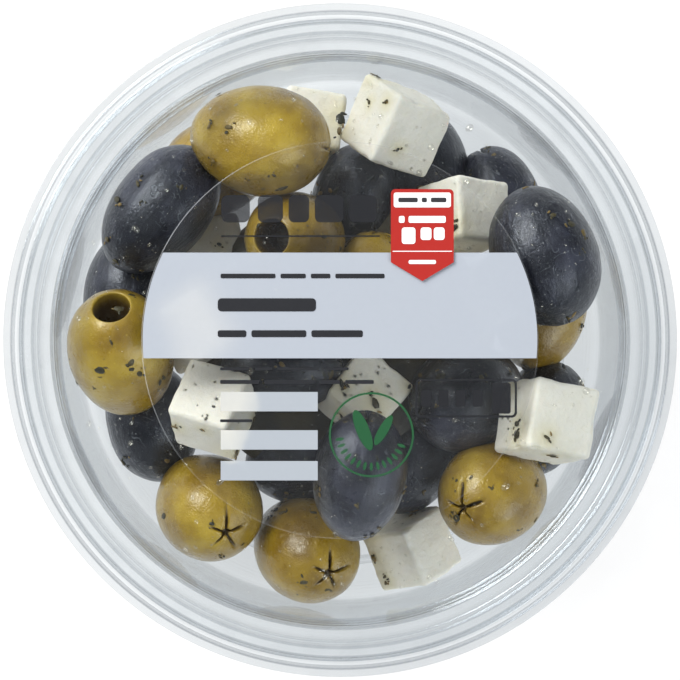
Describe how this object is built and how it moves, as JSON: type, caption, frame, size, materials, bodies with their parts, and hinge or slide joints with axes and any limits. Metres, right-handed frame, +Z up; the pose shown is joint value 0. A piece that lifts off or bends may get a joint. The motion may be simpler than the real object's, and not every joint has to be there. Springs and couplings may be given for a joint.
{
  "type": "shut clear tub of olives and white cheese cubes",
  "caption": "Round clear plastic tub with a press-on lid and a round clear label, filled with green and black olives and white cheese cubes.",
  "frame": {"origin": "centre of the tub's foot ring, on the surface that it stands on", "axes": "+Z up through the lid; +Y towards the upper edge of the label; +X to the right of the label as it is read from above, where the red sticker is"},
  "size_m": [0.118, 0.118, 0.048],
  "materials": {
    "clear_plastic": "clear, smooth and glossy",
    "label_film": "clear film, glossy",
    "band_ink": "pale blue-white print under a satin film",
    "badge_ink": "red print under a satin film",
    "olive_skin": "oily olive skin, green and black olives together",
    "cheese": "moist white cheese with soft edges"
  },
  "bodies": {
    "root": {"tub": "clear_plastic", "lid": "clear_plastic", "label": "label_film", "label_band": "band_ink", "sticker": "badge_ink", "olive_heap": "olive_skin", "cheese_cube_01": "cheese", "cheese_cube_02": "cheese", "cheese_cube_03": "cheese", "cheese_cube_04": "cheese", "cheese_cube_05": "cheese", "cheese_cube_06": "cheese", "cheese_cube_07": "cheese", "cheese_cube_08": "cheese", "cheese_cube_09": "cheese", "cheese_cube_10": "cheese", "cheese_cube_11": "cheese"}
  },
  "joints": []
}
